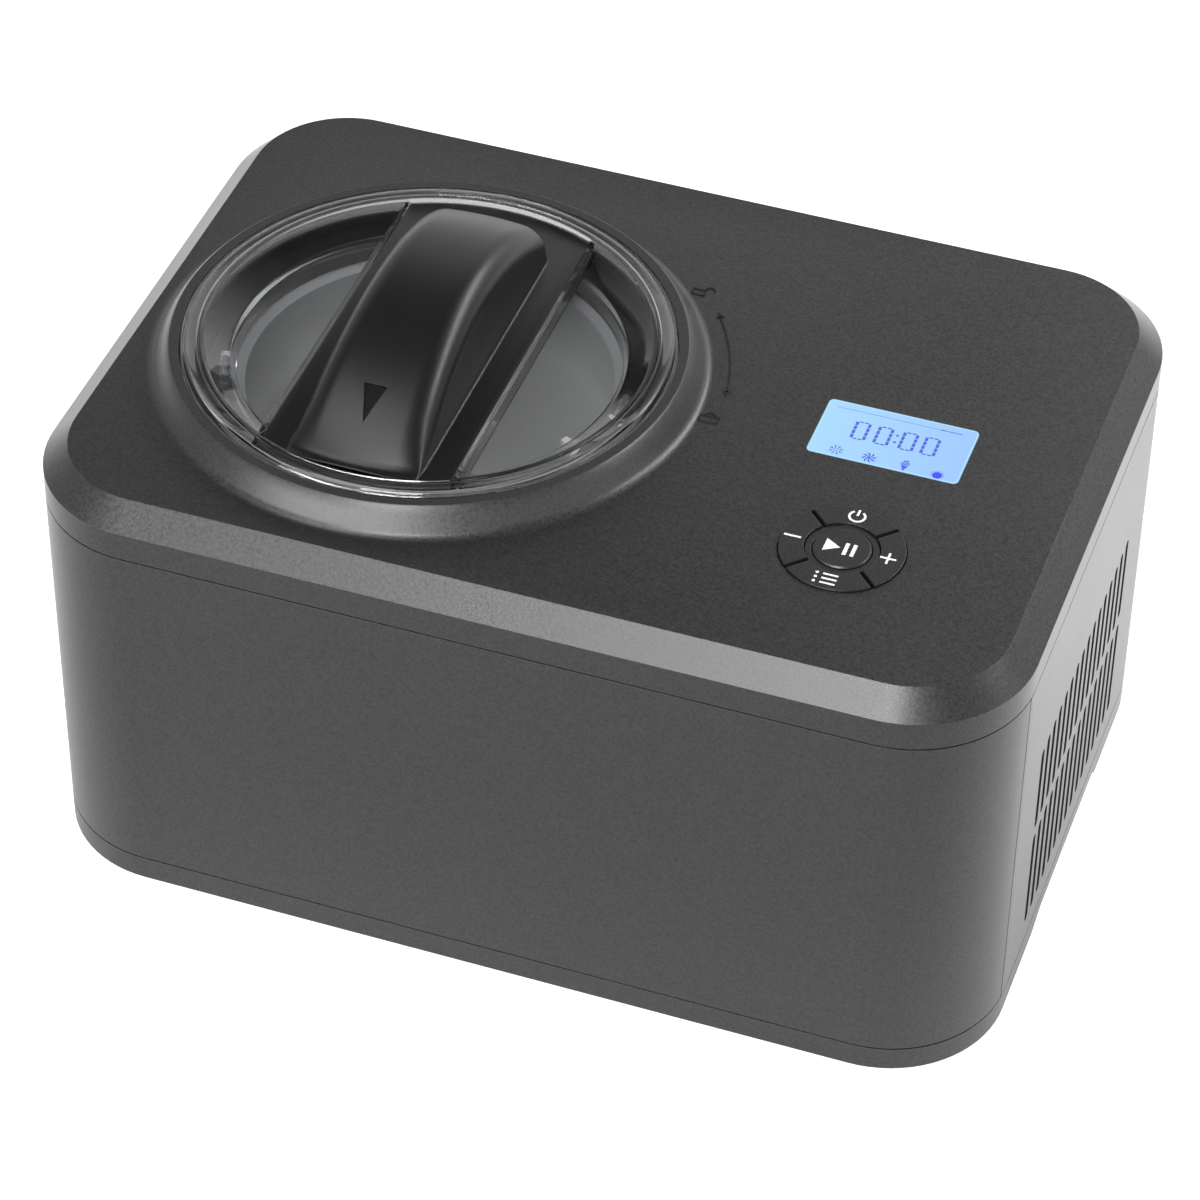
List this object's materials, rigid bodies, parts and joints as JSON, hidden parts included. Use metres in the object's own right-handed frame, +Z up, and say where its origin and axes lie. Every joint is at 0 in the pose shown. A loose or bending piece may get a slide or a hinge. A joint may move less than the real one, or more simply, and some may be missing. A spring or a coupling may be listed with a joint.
{
  "type": "compressor ice cream maker",
  "caption": "Dark countertop ice cream maker: boxy vented housing, raised collar with a clear twist-lock lid and arched grip, display and ring keys; bowl, paddle, drive and cooling inside.",
  "frame": {"origin": "on the surface it stands on, under the middle of the housing", "axes": "+X to the right seen from the front, +Y to the back, +Z up; the control panel is on the right and the lid on the left"},
  "size_m": [0.38, 0.27, 0.2305],
  "materials": {
    "housing_plastic": "satin dark grey moulded plastic with a fine grain",
    "black_plastic": "plain black moulded plastic",
    "key_plastic": "black keys with white symbols",
    "handle_plastic": "smooth satin black plastic",
    "clear_plastic": "clear moulded plastic",
    "display_glass": "backlit pale blue display window",
    "white_plastic": "white plastic",
    "paddle_plastic": "pale grey food-grade plastic",
    "gear_plastic": "natural acetal",
    "foam": "pale insulating foam",
    "circuit_board": "green circuit board",
    "silicone": "translucent grey silicone",
    "rubber": "black rubber",
    "aluminium": "satin aluminium",
    "condenser_metal": "bare fins and tubes",
    "steel": "plain steel",
    "bronze": "sintered bronze",
    "copper": "copper tube",
    "black_paint": "black enamel on steel"
  },
  "bodies": {
    "housing": {"top_cover": "housing_plastic", "front_shell": "housing_plastic", "right_panel": "housing_plastic", "left_panel": "housing_plastic", "rear_panel": "housing_plastic", "base_tray": "housing_plastic", "rubber_feet": "rubber", "base_screws": "steel", "lcd_lens": "display_glass", "lcd_module": "white_plastic", "control_board": "circuit_board", "key_switches": "black_plastic", "key_frame": "black_plastic", "evaporator_drum": "aluminium", "drum_flange": "aluminium", "drum_gasket": "silicone", "evaporator_coil": "copper", "insulation_jacket": "foam", "shaft_seal": "rubber", "idler_pin": "steel", "gearbox_case": "black_plastic", "gearbox_cover": "black_plastic", "gearbox_screws": "steel", "shaft_bushes": "bronze", "drive_motor": "steel", "compressor": "black_paint", "compressor_grommets": "rubber", "compressor_bolts": "steel", "condenser": "condenser_metal", "fan_housing": "black_plastic", "filter_drier": "copper", "suction_pipe": "copper", "discharge_pipe": "copper", "condenser_pipe": "copper", "capillary_tube": "copper", "power_board": "circuit_board", "cord_gland": "rubber"},
    "seal_ring": {"lid_seal": "silicone"},
    "lid": {"lid_window": "clear_plastic", "lid_handle": "handle_plastic", "handle_screws": "steel"},
    "bowl": {"bowl": "aluminium"},
    "paddle": {"paddle": "paddle_plastic"},
    "output_shaft": {"drive_shaft": "steel", "output_gear": "gear_plastic"},
    "reduction_wheel": {"reduction_gear": "gear_plastic"},
    "motor_rotor": {"motor_pinion": "steel"},
    "fan": {"fan_rotor": "black_plastic"},
    "power_key": {"key_power": "key_plastic"},
    "minus_key": {"key_minus": "key_plastic"},
    "plus_key": {"key_plus": "key_plastic"},
    "menu_key": {"key_menu": "key_plastic"},
    "start_key": {"key_start": "key_plastic"}
  },
  "joints": [
    {"name": "lid_lift", "type": "slide", "parent": "housing", "child": "seal_ring", "axis": [0, 0, 1], "range_m": [0, 0.32]},
    {"name": "lid_twist", "type": "hinge", "parent": "seal_ring", "child": "lid", "pos_m": [-0.0695, -0.0105, 0.2], "axis": [0, 0, 1], "range_deg": [-40, 0]},
    {"name": "bowl_lift", "type": "slide", "parent": "housing", "child": "bowl", "axis": [0, 0, 1], "range_m": [0, 0.16]},
    {"name": "paddle_spin", "type": "hinge", "parent": "bowl", "child": "paddle", "pos_m": [-0.0695, -0.0105, 0.12], "axis": [0, 0, 1], "continuous": true},
    {"name": "shaft_spin", "type": "hinge", "parent": "housing", "child": "output_shaft", "pos_m": [-0.0695, -0.0105, 0.08], "axis": [0, 0, 1], "continuous": true},
    {"name": "reduction_spin", "type": "hinge", "parent": "housing", "child": "reduction_wheel", "pos_m": [-0.0325, -0.0105, 0.04], "axis": [0, 0, 1], "continuous": true},
    {"name": "rotor_spin", "type": "hinge", "parent": "housing", "child": "motor_rotor", "pos_m": [-0.0025, -0.0105, 0.03], "axis": [0, 0, 1], "continuous": true},
    {"name": "fan_spin", "type": "hinge", "parent": "housing", "child": "fan", "pos_m": [0.142, 0.002, 0.071], "axis": [1, 0, 0], "continuous": true},
    {"name": "power_key_press", "type": "slide", "parent": "housing", "child": "power_key", "axis": [0, 0, -1], "range_m": [0, 0.0008], "stiffness_N_per_m": 400},
    {"name": "minus_key_press", "type": "slide", "parent": "housing", "child": "minus_key", "axis": [0, 0, -1], "range_m": [0, 0.0008], "stiffness_N_per_m": 400},
    {"name": "plus_key_press", "type": "slide", "parent": "housing", "child": "plus_key", "axis": [0, 0, -1], "range_m": [0, 0.0008], "stiffness_N_per_m": 400},
    {"name": "menu_key_press", "type": "slide", "parent": "housing", "child": "menu_key", "axis": [0, 0, -1], "range_m": [0, 0.0008], "stiffness_N_per_m": 400},
    {"name": "start_key_press", "type": "slide", "parent": "housing", "child": "start_key", "axis": [0, 0, -1], "range_m": [0, 0.0008], "stiffness_N_per_m": 400}
  ],
  "couplings": [
    {"joint": "lid_lift", "follows": "bowl_lift", "ratio": 2},
    {"joint": "shaft_spin", "follows": "paddle_spin", "ratio": 1},
    {"joint": "reduction_spin", "follows": "paddle_spin", "ratio": -4.2857},
    {"joint": "rotor_spin", "follows": "paddle_spin", "ratio": 17.143}
  ]
}
